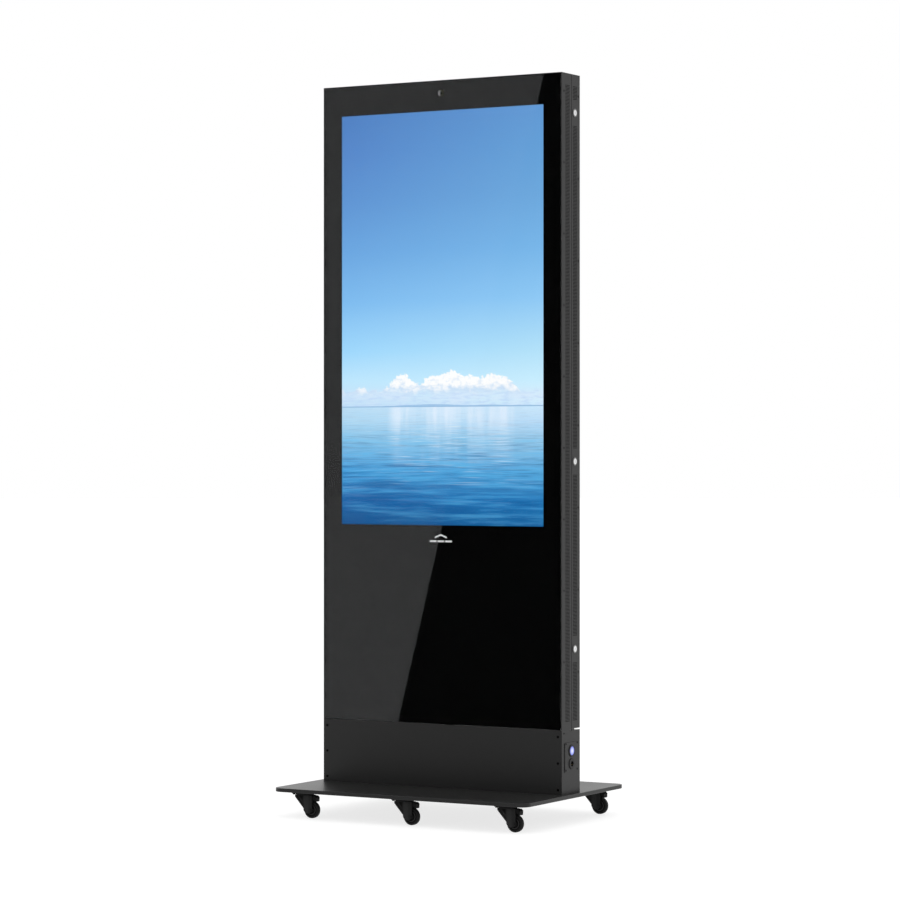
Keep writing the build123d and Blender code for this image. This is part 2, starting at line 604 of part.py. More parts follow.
for place, height in zip(("lower", "middle", "upper"), LOCK_HEIGHTS):
    with BuildPart() as lock_plug:
        with Locations(lock_place(SIDE + LOCK_FLANGE_T + 0.3, height)):
            Cylinder(PLUG_R, SIDE + LOCK_FLANGE_T + 0.3 - LOCK_END, align=DOWN)
        fillet(lock_plug.edges().group_by(Axis.X)[-1], radius=0.4)
        with Locations(lock_place(LOCK_END, height)):
            Cylinder(STUB_R, 5.5, align=DOWN)
        keyhole = (SIDE + LOCK_FLANGE_T - 8.0, SIDE + LOCK_FLANGE_T + 1.0)
        block(keyhole, (LOCK_Y - 0.6, LOCK_Y + 0.6), (height - 3.6, height + 3.6), mode=Mode.SUBTRACT)
    save(f"lock_plug_{place}", lock_plug)

    with BuildPart() as lock_cam:
        with BuildSketch(Plane.YZ.offset(CAM_X[0])):
            with Locations((LOCK_Y - (CAM_REACH - 7.0) / 2, height)):
                SlotOverall(CAM_REACH + 7.0, CAM_W)
            with Locations((LOCK_Y, height)):
                Circle(STUB_R + RUNNING, mode=Mode.SUBTRACT)
        extrude(amount=CAM_X[1] - CAM_X[0])
        with BuildSketch(Plane.YZ.offset(CAM_X[0])):
            with Locations((LOCK_Y, height)):
                RegularPolygon(6.2, 6)
                Circle(STUB_R + RUNNING, mode=Mode.SUBTRACT)
        extrude(amount=-2.2)
    save(f"lock_cam_{place}", lock_cam)

TAB_Y = (30.0, 32.0)
ARM_X = (362.0, 364.0)
with BuildPart() as lock_keepers:
    for height in LOCK_HEIGHTS:
        span = (height - 38.0, height - 10.0)
        block((ARM_X[0] - 10, 382.0), (SEAM_Y, SEAM_Y + SHEET), span)
        block(ARM_X, (SEAM_Y, TAB_Y[1]), span)
        block((ARM_X[0], LOCK_END - 0.1), TAB_Y, span)
save("lock_keepers", lock_keepers)

# ---------------------------------------------------------------- castors
MOUNT_W, MOUNT_T = 58.0, 4.0
CROWN_TOP = 67.0
RACE_R, RACE_T = 27.0, CASTOR_H - MOUNT_T - CROWN_TOP - GAP
KINGPIN_R, KINGPIN_L = 5.0, 8.0
CROWN_X = (-27.0, 31.0)
CROWN_T = 6.0
CHEEK_IN, CHEEK_OUT, BOSS_OUT = 8.2, 10.8, 12.2
BOSS_X = (2.0, CROWN_X[1])
CHEEK_LOW = 14.0
AXLE_R, PEDAL_PIN_R = 3.0, 1.5
PEDAL_PIN = (24.0, 57.0)  # along the trail, and above the floor
PEDAL_ARC_R = WHEEL_R + 5.0
PEDAL_END = 43.0

with BuildPart() as castor_plates:
    with BuildSketch(Plane.XY.offset(CASTOR_H - MOUNT_T)):
        with Locations(*CASTORS.values()):
            RectangleRounded(MOUNT_W, MOUNT_W, 4.0)
    extrude(amount=MOUNT_T)
    with BuildSketch(Plane.XY.offset(CASTOR_H - MOUNT_T)):
        with Locations(*CASTORS.values()):
            Circle(RACE_R)
    extrude(amount=-RACE_T)
    with Locations(*[(x, y, CASTOR_H) for x, y in CASTORS.values()]):
        Cylinder(KINGPIN_R + RUNNING, 20, mode=Mode.SUBTRACT)
    with Locations(*castor_bolt_places):
        Cylinder(BOLT_R + RUNNING, 20, mode=Mode.SUBTRACT)
save("castor_plates", castor_plates)

bolt_head_places = [place * Location((0, 0, -MOUNT_T), (180, 0, 0)) for place in castor_bolt_places]
with BuildPart() as castor_bolts:
    with Locations(*bolt_head_places):
        add(hex_bolt(4.4, 3.2, BOLT_R, MOUNT_T + BOLT_GRIP))
save("castor_bolts", castor_bolts)


def castor_fork(x, y):
    """A fork with its kingpin, and in it the wheel's axle and the pedal's pin.

    Each cheek is a thin plate with a slanted leading edge, under a thicker upright strip.
    """
    cheek_layers = ((CROWN_X[0], CHEEK_IN, CHEEK_OUT), (BOSS_X[0], CHEEK_OUT, BOSS_OUT))
    axle = [Location((x + TRAIL, y, WHEEL_R), (90, 0, 0))]
    pedal_pin = [Location((x + PEDAL_PIN[0], y, PEDAL_PIN[1]), (90, 0, 0))]
    with BuildPart() as fork:
        crown = (x + CROWN_X[0], x + CROWN_X[1])
        block(crown, (y - CHEEK_OUT, y + CHEEK_OUT), (CROWN_TOP - CROWN_T, CROWN_TOP))
        for side, (lead, near, far) in product((-1, 1), cheek_layers):
            with BuildSketch(Plane.XZ.offset(-(y + side * near))):
                with BuildLine():
                    Polyline(
                        (x + BOSS_X[0], WHEEL_R),
                        (x + BOSS_X[0], WHEEL_R + 4.0),
                        (x + lead, CROWN_TOP - CROWN_T),
                        (x + lead, CROWN_TOP),
                        (x + BOSS_X[1], CROWN_TOP),
                        (x + BOSS_X[1], WHEEL_R),
                    )
                    ThreePointArc(
                        (x + BOSS_X[1], WHEEL_R),
                        (x + sum(BOSS_X) / 2, CHEEK_LOW),
                        (x + BOSS_X[0], WHEEL_R),
                    )
                make_face()
            extrude(amount=-side * (far - near))
        with Locations((x, y, CROWN_TOP)):
            Cylinder(KINGPIN_R, KINGPIN_L, align=UP)
        for hole, radius in ((axle, AXLE_R), (pedal_pin, PEDAL_PIN_R)):
            with Locations(*hole):
                Cylinder(radius + RUNNING, 60, mode=Mode.SUBTRACT)
        for pin, radius, length in ((axle, AXLE_R, 28.0), (pedal_pin, PEDAL_PIN_R, 2 * BOSS_OUT)):
            with Locations(*pin):
                Cylinder(radius, length)
    return fork


def castor_wheel(x, y):
    """A wheel with a rounded tread, a ring groove in each face and a bored hub."""
    half = WHEEL_T / 2
    with BuildPart() as wheel:
        with BuildSketch(Plane.XY.offset(WHEEL_R)):
            with BuildLine():
                Polyline(
                    (x + TRAIL + AXLE_R + RUNNING, y + half),
                    (x + TRAIL + 8.0, y + half),
                    (x + TRAIL + 9.0, y + half - 2.0),
                    (x + TRAIL + 18.0, y + half - 2.0),
                    (x + TRAIL + 19.0, y + half - 0.5),
                    (x + TRAIL + WHEEL_R - 2.5, y + half - 0.5),
                    (x + TRAIL + WHEEL_R, y + half - 3.0),
                    (x + TRAIL + WHEEL_R, y - half + 3.0),
                    (x + TRAIL + WHEEL_R - 2.5, y - half + 0.5),
                    (x + TRAIL + 19.0, y - half + 0.5),
                    (x + TRAIL + 18.0, y - half + 2.0),
                    (x + TRAIL + 9.0, y - half + 2.0),
                    (x + TRAIL + 8.0, y - half),
                    (x + TRAIL + AXLE_R + RUNNING, y - half),
                    close=True,
                )
            make_face()
        revolve(axis=Axis((x + TRAIL, y, WHEEL_R), (0, 1, 0)))
    return wheel


def brake_pedal(x, y):
    """A pedal over the wheel, on its pin, with a wider pad behind the fork."""
    arc_x = x + TRAIL
    pad_start = CROWN_X[1] + 1.0
    crown_low = CROWN_TOP - CROWN_T - 1.8

    def on_arc(along):
        return (x + along, WHEEL_R + sqrt(PEDAL_ARC_R**2 - (along - TRAIL) ** 2))

    with BuildPart() as pedal:
        with BuildSketch(Plane.XZ.offset(-(y + CHEEK_IN - 0.6))):
            with BuildLine():
                ThreePointArc(on_arc(18.0), (arc_x, WHEEL_R + PEDAL_ARC_R), on_arc(pad_start + 1.0))
                Polyline(
                    on_arc(pad_start + 1.0),
                    (x + pad_start + 1.0, crown_low),
                    (x + 18.0, crown_low),
                    on_arc(18.0),
                )
            make_face()
        extrude(amount=2 * (CHEEK_IN - 0.6))
        with BuildSketch(Plane.XZ.offset(-(y + CHEEK_OUT))):
            with BuildLine():
                ThreePointArc(on_arc(pad_start), on_arc((pad_start + PEDAL_END) / 2), on_arc(PEDAL_END))
                Polyline(
                    on_arc(PEDAL_END),
                    (x + PEDAL_END + 1.0, CROWN_TOP - 6.0),
                    (x + PEDAL_END - 4.0, CROWN_TOP - 1.0),
                    (x + pad_start, CROWN_TOP - 1.0),
                    on_arc(pad_start),
                )
            make_face()
        extrude(amount=2 * CHEEK_OUT)
        with Locations(Location((x + PEDAL_PIN[0], y, PEDAL_PIN[1]), (90, 0, 0))):
            Cylinder(PEDAL_PIN_R + RUNNING, 60, mode=Mode.SUBTRACT)
    return pedal


for place, (x, y) in CASTORS.items():
    save(f"castor_fork_{place}", castor_fork(x, y))
    save(f"castor_wheel_{place}", castor_wheel(x, y))
    save(f"brake_pedal_{place}", brake_pedal(x, y))
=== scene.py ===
"""The looks of the touchscreen kiosk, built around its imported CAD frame. Lengths are in metres."""

import math

import bmesh
import bpy
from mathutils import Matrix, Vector


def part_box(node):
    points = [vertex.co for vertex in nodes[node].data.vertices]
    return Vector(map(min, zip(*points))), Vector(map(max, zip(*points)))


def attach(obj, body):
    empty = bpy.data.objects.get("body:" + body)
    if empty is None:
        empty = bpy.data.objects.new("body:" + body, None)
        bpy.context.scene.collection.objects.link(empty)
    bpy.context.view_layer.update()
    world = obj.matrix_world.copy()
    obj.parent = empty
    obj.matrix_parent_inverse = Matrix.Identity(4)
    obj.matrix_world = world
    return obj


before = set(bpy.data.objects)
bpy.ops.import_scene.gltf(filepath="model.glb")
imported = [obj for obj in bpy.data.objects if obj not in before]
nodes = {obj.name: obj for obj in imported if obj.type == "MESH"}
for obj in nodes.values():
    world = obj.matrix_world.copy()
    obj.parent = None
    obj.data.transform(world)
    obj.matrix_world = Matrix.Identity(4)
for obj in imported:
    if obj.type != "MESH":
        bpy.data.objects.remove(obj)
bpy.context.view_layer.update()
PLACES = ("front_left", "front_middle", "front_right", "rear_left", "rear_middle", "rear_right")
LOCKS = ("lower", "middle", "upper")
HAIR = 0.00004  # keeps two thin layers from sharing a face
KINGPIN_H = 0.008  # how far the kingpin stands above a castor fork's crown


# ---------------------------------------------------------------- colours
def linear(value):
    """One sRGB channel, 0 to 255, as linear light."""
    share = value / 255
    return share / 12.92 if share <= 0.04045 else ((share + 0.055) / 1.055) ** 2.4


def rgb(red, green, blue):
    """An sRGB colour as linear light, with alpha."""
    return (linear(red), linear(green), linear(blue), 1.0)


def grey(value):
    """A neutral colour of one linear brightness."""
    return (value, value, value, 1.0)


# ---------------------------------------------------------------- node trees
NOISE_LOW, NOISE_HIGH = 0.3, 0.7


class Tree:
    """Short calls for building a material's nodes."""

    def __init__(self, name):
        self.material = bpy.data.materials.new(name)
        self.material.use_nodes = True
        self.nodes = self.material.node_tree.nodes
        self.links = self.material.node_tree.links
        self.shader = self.nodes["Principled BSDF"]

    def add(self, kind, **settings):
        """A new node with these properties."""
        node = self.nodes.new(kind)
        for key, value in settings.items():
            setattr(node, key, value)
        return node

    def feed(self, socket, value):
        """Link an output to a socket, or set the socket to a plain value."""
        if isinstance(value, bpy.types.NodeSocket):
            self.links.new(value, socket)
        else:
            socket.default_value = value

    def set(self, **values):
        """Set the shader's sockets, with underscores for spaces in their names."""
        for key, value in values.items():
            self.feed(self.shader.inputs[key.replace("_", " ")], value)

    def place(self):
        """The point in the row frame, in metres, that is being shaded."""
        return self.add("ShaderNodeTexCoord").outputs["Object"]

    def facing(self):
        """The face's own direction in the row frame, as x, y and z."""
        return self.split(self.add("ShaderNodeNewGeometry").outputs["True Normal"])

    def add_linked(self, kind, *values, **settings):
        """A new node whose first sockets are fed these values in turn; None leaves a socket alone."""
        node = self.add(kind, **settings)
        for socket, value in zip(node.inputs, values):
            if value is not None:
                self.feed(socket, value)
        return node

    def split(self, vector):
        """The vector's x, y and z."""
        return self.add_linked("ShaderNodeSeparateXYZ", vector).outputs

    def join(self, x, y, z):
        """A vector of these three parts."""
        return self.add_linked("ShaderNodeCombineXYZ", x, y, z).outputs[0]

    def math(self, operation, *values):
        """One sum, product or other operation of Blender's Math node."""
        return self.add_linked("ShaderNodeMath", *values, operation=operation).outputs[0]

    def length(self, *parts):
        """The length of a vector with these parts."""
        squares = [self.math("MULTIPLY", part, part) for part in parts]
        return self.math("SQRT", self.math("ADD", *squares))

    def from_axis(self, node, first, second):
        """Offsets from a round node's own axis along two axes (0 x, 1 y, 2 z), in radii, and the distance from it."""
        low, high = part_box(node)
        radius = (high[first] - low[first]) / 2
        here = self.split(self.place())
        off = [self.math("DIVIDE", self.math("SUBTRACT", here[axis], (low[axis] + high[axis]) / 2), radius)
               for axis in (first, second)]
        return off, self.length(*off)

    def scaled(self, vector, x, y, z):
        """The vector stretched by three factors."""
        node = self.add("ShaderNodeVectorMath", operation="MULTIPLY")
        self.feed(node.inputs[0], vector)
        node.inputs[1].default_value = (x, y, z)
        return node.outputs[0]

    def noise(self, vector, scale, detail=2.0, rough=0.5, twist=0.0):
        """Fractal noise, mostly between NOISE_LOW and NOISE_HIGH."""
        node = self.add("ShaderNodeTexNoise")
        self.feed(node.inputs["Vector"], vector)
        node.inputs["Scale"].default_value = scale
        node.inputs["Detail"].default_value = detail
        node.inputs["Roughness"].default_value = rough
        node.inputs["Distortion"].default_value = twist
        return node.outputs["Fac"]

    def cells(self, vector, scale):
        """Distance and colour of a cell pattern."""
        node = self.add("ShaderNodeTexVoronoi")
        self.feed(node.inputs["Vector"], vector)
        node.inputs["Scale"].default_value = scale
        return node.outputs

    def fit(self, value, low, high, to_low=0.0, to_high=1.0, smooth=False):
        """A value's stretch from low to high, mapped to another stretch and clamped there."""
        node = self.add("ShaderNodeMapRange")
        node.interpolation_type = "SMOOTHSTEP" if smooth else "LINEAR"
        for socket, number in zip(node.inputs, (value, low, high, to_low, to_high)):
            self.feed(socket, number)
        return node.outputs["Result"]

    def sway(self, noise, least, most):
        """A value that follows a noise between two ends."""
        return self.fit(noise, NOISE_LOW, NOISE_HIGH, least, most)

    def mix(self, share, first, second):
        """One colour turning into another as share goes from 0 to 1."""
        node = self.add("ShaderNodeMix", data_type="RGBA")
        self.feed(node.inputs["Factor"], share)
        self.feed(node.inputs["A"], first)
        self.feed(node.inputs["B"], second)
        return next(socket for socket in node.outputs if socket.type == "RGBA")

    def ramp(self, value, stops, smooth=False):
        """A colour for each value, through stops of (position, colour)."""
        node = self.add("ShaderNodeValToRGB")
        node.color_ramp.interpolation = "B_SPLINE" if smooth else "LINEAR"
        elements = node.color_ramp.elements
        while len(elements) < len(stops):
            elements.new(1.0)
        for element, (position, colour) in zip(elements, stops):
            element.position = position
            element.color = colour
        self.feed(node.inputs["Fac"], value)
        return node.outputs["Color"]

    def bump(self, height, depth, strength):
        """A normal from a height between 0 and 1, over a depth in metres."""
        node = self.add("ShaderNodeBump")
        node.inputs["Distance"].default_value = depth
        node.inputs["Strength"].default_value = strength
        self.feed(node.inputs["Height"], height)
        return node.outputs["Normal"]


def paint(material, *names):
    """Give CAD nodes, by name, this material in all their slots."""
    for name in names:
        for slot in nodes[name].material_slots:
            slot.material = material


# ---------------------------------------------------------------- finishes
def powder_coat(name, base, rough, grain=0.0016, dust=1.0):
    """Fine-texture black powder coat: a grainy skin with slow drifts of tone and gloss.

    Upward faces carry painted light from above, which makes them this many times as light.
    """
    tree = Tree(name)
    place = tree.place()
    skin = tree.noise(place, 1.0 / grain, detail=3.0, rough=0.6)
    fleck = tree.noise(place, 2.6 / grain, detail=1.0)
    drift = tree.noise(place, 3.5, detail=3.0)
    tone = tree.mix(drift, grey(base * 0.8), grey(base * 1.2))
    tone = tree.mix(tree.fit(fleck, 0.58, 0.75), tone, grey(base * 2.4))
    # painted light from above: upward faces are made lighter
    if dust > 1.0:
        lit_top_tone = tree.mix(drift, grey(base * dust * 0.85), grey(base * dust * 1.15))
        tone = tree.mix(tree.fit(tree.facing()[2], 0.5, 0.9), tone, lit_top_tone)
    gloss = tree.math("ADD", tree.sway(skin, rough - 0.04, rough + 0.04),
                      tree.sway(drift, -0.02, 0.02))
    tree.set(Base_Color=tone, Roughness=gloss, IOR=1.36,
             Normal=tree.bump(skin, 0.00006, 0.35))
    return tree.material


def galvanised(name, base, rough, bloom):
    """Zinc-plated sheet: soft crystal flakes, each a little lighter or darker than its neighbours."""
    tree = Tree(name)
    place = tree.place()
    flake = tree.cells(place, 1.0 / bloom)
    shade = tree.split(flake["Color"])[0]
    cloud = tree.noise(place, 5.0, detail=4.0)
    tone = tree.mix(shade, grey(base * 0.82), (base * 1.08, base * 1.1, base * 1.14, 1.0))
    tone = tree.mix(tree.fit(cloud, 0.45, 0.8, 0.0, 0.3), tone, grey(base * 0.7))
    scratch = tree.noise(tree.scaled(place, 1.0, 1.0, 0.02), 1800.0, detail=2.0)
    tree.set(Base_Color=tone, Metallic=1.0,
             Roughness=tree.fit(shade, 0.0, 1.0, rough - 0.07, rough + 0.08),
             Normal=tree.bump(scratch, 0.00002, 0.25))
    return tree.material


def moulded_plastic(name, base, rough):
    """Spark-eroded mould texture on black plastic."""
    grain = 0.0007
    tree = Tree(name)
    place = tree.place()
    pits = tree.cells(place, 1.0 / grain)["Distance"]
    drift = tree.noise(place, 45.0, detail=3.0)
    tone = tree.mix(drift, grey(base * 0.75), grey(base * 1.3))
    tree.set(Base_Color=tone, IOR=1.5,
             Roughness=tree.sway(drift, rough - 0.05, rough + 0.05),
             Normal=tree.bump(pits, 0.00004, 0.3))
    return tree.material


def pressed_steel(name, base, rough, shine=0.3):
    """Black coat over pressed steel, thinner and shinier where it has been handled."""
    tree = Tree(name)
    place = tree.place()
    ripple = tree.noise(place, 260.0, detail=3.0)
    wear = tree.noise(place, 38.0, detail=4.0, rough=0.65)
    tone = tree.mix(tree.fit(wear, 0.55, 0.8), grey(base), grey(base * 2.2))
    tree.set(Base_Color=tone, IOR=1.5, Specular_IOR_Level=shine,
             Roughness=tree.fit(wear, 0.3, 0.75, rough + 0.06, rough - 0.08),
             Normal=tree.bump(ripple, 0.00008, 0.3))
    return tree.material


def corner_shade(tree, reach):
    """1 in the open and 0 deep in a corner, softened by a little noise: the mask for painted shade in corners."""
    node = tree.add("ShaderNodeAmbientOcclusion", samples=4)
    node.inputs["Distance"].default_value = reach
    smear = tree.noise(tree.place(), 90.0, detail=3.0)
    return tree.math("MULTIPLY", tree.fit(node.outputs["AO"], 0.3, 0.95), tree.fit(smear, 0.2, 0.6, 0.75, 1.0))


# where painted shade and a painted highlight fall on a castor fork's pressed shape, in metres from its leading edge and
# down from its crown
LEAN_X, LEAN_Z = 0.74, 0.67  # the way square to the leading edge, which leans back 29 mm over its 32 mm drop
WEB_EDGE, WEB_SOFT = 0.006, 0.009  # the pressed web's painted shade fades in between these depths behind the leading edge
WEB_END, WEB_GONE = 0.024, 0.028  # and fades out between these, before the column
COLUMN_X = 0.038
COLUMN_CORE, COLUMN_SIDE = 0.004, 0.012  # half widths of the column's painted highlight at its brightest and of all of it


def castor_steel(name, base, rough, fork=None):
    """Black-coated pressed steel, dull in its corners and folds, which painted shade darkens.

    On a fork, the web between the leading flange and the upright column is pressed in and darkened by painted shade,
    and the column carries a painted highlight.
    """
    tree = Tree(name)
    open_face = corner_shade(tree, 0.012)
    ripple = tree.noise(tree.place(), 260.0, detail=3.0)
    # painted shade in corners and folds
    tone = tree.mix(open_face, grey(base * 0.3), grey(base))
    if fork:
        low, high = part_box(fork)
        x, _, z = tree.split(tree.place())
        behind = tree.math("SUBTRACT", x, low.x)
        below = tree.math("SUBTRACT", high.z - KINGPIN_H, z)
        inward = tree.math("SUBTRACT", tree.math("MULTIPLY", behind, LEAN_X), tree.math("MULTIPLY", below, LEAN_Z))
        web = tree.math("MULTIPLY", tree.fit(inward, WEB_EDGE, WEB_SOFT, smooth=True),
                        tree.fit(behind, WEB_GONE, WEB_END, smooth=True))
        # painted shade over the pressed web
        tone = tree.mix(web, tone, grey(base * 0.06))
        column = tree.fit(tree.math("ABSOLUTE", tree.math("SUBTRACT", behind, COLUMN_X)),
                          COLUMN_SIDE, COLUMN_CORE, smooth=True)
        # painted highlight along the upright column
        tone = tree.mix(tree.math("MULTIPLY", column, 0.7), tone, grey(base * 1.6))
    tree.set(Base_Color=tone, IOR=1.5, Specular_IOR_Level=0.06,
             Roughness=tree.fit(open_face, 0.2, 0.9, rough + 0.3, rough),
             Normal=tree.bump(ripple, 0.00012, 0.4))
    return tree.material


WHEEL_RING_SHADING = (  # distance from the hub's axis, in radii, and how light the nylon is painted there against its base tone: painted highlights on the hub and ribs, painted shade in the grooves
    (0.0, 0.8), (0.22, 1.6), (0.30, 2.6), (0.36, 0.1), (0.48, 0.1), (0.50, 3.2),
    (0.62, 2.8), (0.64, 0.1), (0.74, 0.2), (0.80, 1.3), (1.0, 1.0),
)


def wheel_nylon(name, base, rough, wheel):
    """Hard nylon with raised rings around its hub, with painted highlights on the rings, painted shade in its grooves
    and corners, and patches of road dust.
    """
    tree = Tree(name)
    place = tree.place()
    _, out = tree.from_axis(wheel, 0, 2)
    # painted highlights on the hub and ribs, painted shade in the grooves
    rings = tree.ramp(out, [(at, grey(base * light)) for at, light in WHEEL_RING_SHADING])
    open_face = corner_shade(tree, 0.006)
    dust = tree.noise(place, 120.0, detail=4.0, rough=0.65)
    scuff = tree.noise(tree.scaled(place, 1.0, 6.0, 1.0), 420.0, detail=2.0)
    tone = tree.mix(tree.fit(dust, 0.5, 0.8, 0.0, 0.4), rings, grey(base * 2.6))
    # painted shade in corners and grooves
    tone = tree.mix(open_face, grey(base * 0.3), tone)
    tree.set(Base_Color=tone, IOR=1.5, Specular_IOR_Level=0.05,
             Roughness=tree.sway(dust, rough - 0.06, rough + 0.1),
             Normal=tree.bump(scuff, 0.00006, 0.35))
    return tree.material


def plated(name, colour, rough):
    """Bright plating with a faint haze and hairline polishing marks."""
    tree = Tree(name)
    place = tree.place()
    haze = tree.noise(place, 160.0, detail=3.0)
    hair = tree.noise(tree.scaled(place, 1.0, 0.08, 1.0), 900.0, detail=2.0)
    dull = tuple(0.9 * channel for channel in colour[:3]) + (1.0,)
    tone = tree.mix(haze, dull, colour)
    tree.set(Base_Color=tone, Metallic=1.0,
             Roughness=tree.sway(haze, rough * 0.7, rough * 1.4),
             Normal=tree.bump(hair, 0.00001, 0.2))
    return tree.material


def extruded_case(name, base, rough):
    """Anodised or mill-finish aluminium with the straight die lines of its extrusion."""
    tree = Tree(name)
    place = tree.place()
    lines = tree.noise(tree.scaled(place, 1.0, 1.0, 0.01), 1500.0, detail=2.0)
    drift = tree.noise(place, 14.0, detail=3.0)
    tone = tree.mix(lines, grey(base * 0.85), grey(base * 1.15))
    tree.set(Base_Color=tone, Metallic=1.0,
             Roughness=tree.sway(drift, rough - 0.05, rough + 0.05),
             Normal=tree.bump(lines, 0.00002, 0.3))
    return tree.material


def clear_glass(name):
    """Tempered front glass with blackened edges.

    Its anti-glare coating leaves hardly any mirror image of its own.
    """
    tree = Tree(name)
    waves = tree.noise(tree.scaled(tree.place(), 1.0, 1.0, 0.25), 2.2, detail=1.0)
    front = tree.fit(tree.math("ABSOLUTE", tree.facing()[1]), 0.4, 0.6)  # 1 on the two large faces, 0 on the edges
    tint = tree.mix(front, grey(0.004), (0.985, 0.995, 1.0, 1.0))
    tree.set(Base_Color=tint, Roughness=0.0, IOR=1.5,
             Transmission_Weight=1.0, Specular_Tint=grey(0.03),
             Normal=tree.bump(waves, 0.00002, 0.15))
    return tree.material


def black_print(name):
    """Glossy black ceramic print on the back of the glass, with a faint screen-mesh grain."""
    tree = Tree(name)
    mesh = tree.noise(tree.place(), 1400.0, detail=1.0)
    ripple = tree.noise(tree.scaled(tree.place(), 1.0, 1.0, 0.3), 5.0, detail=2.0)
    tree.set(Base_Color=tree.mix(mesh, grey(0.0012), grey(0.0026)), IOR=1.36,
             Roughness=tree.sway(mesh, 0.008, 0.016),
             Normal=tree.bump(ripple, 0.00002, 0.1))
    return tree.material


def touch_film(name):
    """Clear sensor film, all but invisible, with a very faint grid of conductors."""
    tree = Tree(name)
    x, _, z = tree.split(tree.place())
    pitch = 0.006  # between conductors
    lines = [tree.math("PINGPONG", tree.math("DIVIDE", value, pitch), 0.5) for value in (x, z)]
    near = tree.fit(tree.math("MINIMUM", *lines), 0.0, 0.02, 1.0, 0.0)
    tree.set(Base_Color=tree.mix(near, grey(0.02), grey(0.06)), Roughness=0.3, Alpha=0.02,
             Specular_IOR_Level=0.1)
    return tree.material


# ---------------------------------------------------------------- the picture on the display
window_low, window_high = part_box("lcd_panel")
CELL_MARGIN = 0.009  # the cell reaches this far past the lit picture on each side
PICTURE_W = window_high.x - window_low.x - 2 * CELL_MARGIN
PICTURE_H = window_high.z - window_low.z - 2 * CELL_MARGIN
PICTURE_LEFT = window_low.x + CELL_MARGIN
SEA_SHARE = 0.2857  # of the picture's height
HORIZON = window_low.z + CELL_MARGIN + SEA_SHARE * PICTURE_H
SKY_H = window_high.z - CELL_MARGIN - HORIZON
SEA_H = PICTURE_H - SKY_H
SKY = [  # height as a share of the sky, then the left and the right edge's colour
    (0.00, rgb(189, 222, 247), rgb(205, 236, 254)),
    (0.03, rgb(198, 227, 249), rgb(217, 240, 254)),
    (0.09, rgb(190, 231, 254), rgb(201, 238, 255)),
    (0.19, rgb(158, 216, 253), rgb(179, 226, 250)),
    (0.36, rgb(124, 187, 239), rgb(142, 201, 245)),
    (0.53, rgb(104, 165, 224), rgb(119, 182, 233)),
    (0.70, rgb(91, 147, 211), rgb(108, 168, 221)),
    (0.87, rgb(82, 133, 201), rgb(99, 159, 215)),
    (1.00, rgb(75, 126, 193), rgb(96, 152, 211)),
]
SEA = [  # depth below the horizon as a share of the sea, then the same two colours
    (0.00, rgb(190, 224, 247), rgb(206, 234, 254)),
    (0.12, rgb(178, 219, 244), rgb(194, 225, 250)),
    (0.29, rgb(130, 195, 234), rgb(150, 203, 236)),
    (0.54, rgb(60, 150, 211), rgb(86, 168, 220)),
    (0.79, rgb(8, 97, 166), rgb(32, 122, 186)),
    (1.00, rgb(0, 80, 140), rgb(14, 96, 156)),
]
CLOUD_TOPS = [  # along the picture, and the height of the cloud bank's outline there
    (0.00, 0.052), (0.03, 0.040), (0.07, 0.052), (0.11, 0.056), (0.135, 0.045), (0.16, 0.060),
    (0.19, 0.045), (0.23, 0.062), (0.26, 0.080), (0.285, 0.094), (0.33, 0.092), (0.355, 0.074),
    (0.39, 0.071), (0.43, 0.082), (0.48, 0.092), (0.52, 0.105), (0.575, 0.102), (0.61, 0.091),
    (0.66, 0.087), (0.715, 0.082), (0.765, 0.095), (0.82, 0.085), (0.85, 0.071), (0.875, 0.055),
    (0.90, 0.036), (1.00, 0.028),
]
CLOUD_SCALE = 0.12  # the ramp holds the outline as a share of this height
HILL_TOPS = [  # along the picture, and the height of the low hills there in centimetres
    (0.00, 0.26), (0.22, 0.30), (0.30, 0.48), (0.42, 0.84), (0.52, 0.76), (0.60, 0.38), (0.68, 0.44),
    (0.74, 0.60), (0.82, 0.38), (0.90, 0.30), (0.94, 0.40), (1.00, 0.26),
]
CENTIMETRE = 0.01
WATER_START = 0.10  # keeps the waves at the horizon from shrinking away; more makes them coarser there
SHORELINE = 0.0006  # half the height over which one band of the picture turns into the next


def across(tree, stops, along, share):
    """A vertical run of colours whose left and right edges differ."""
    left = tree.ramp(share, [(at, colour) for at, colour, _ in stops])
    right = tree.ramp(share, [(at, colour) for at, _, colour in stops])
    return tree.mix(along, left, right)


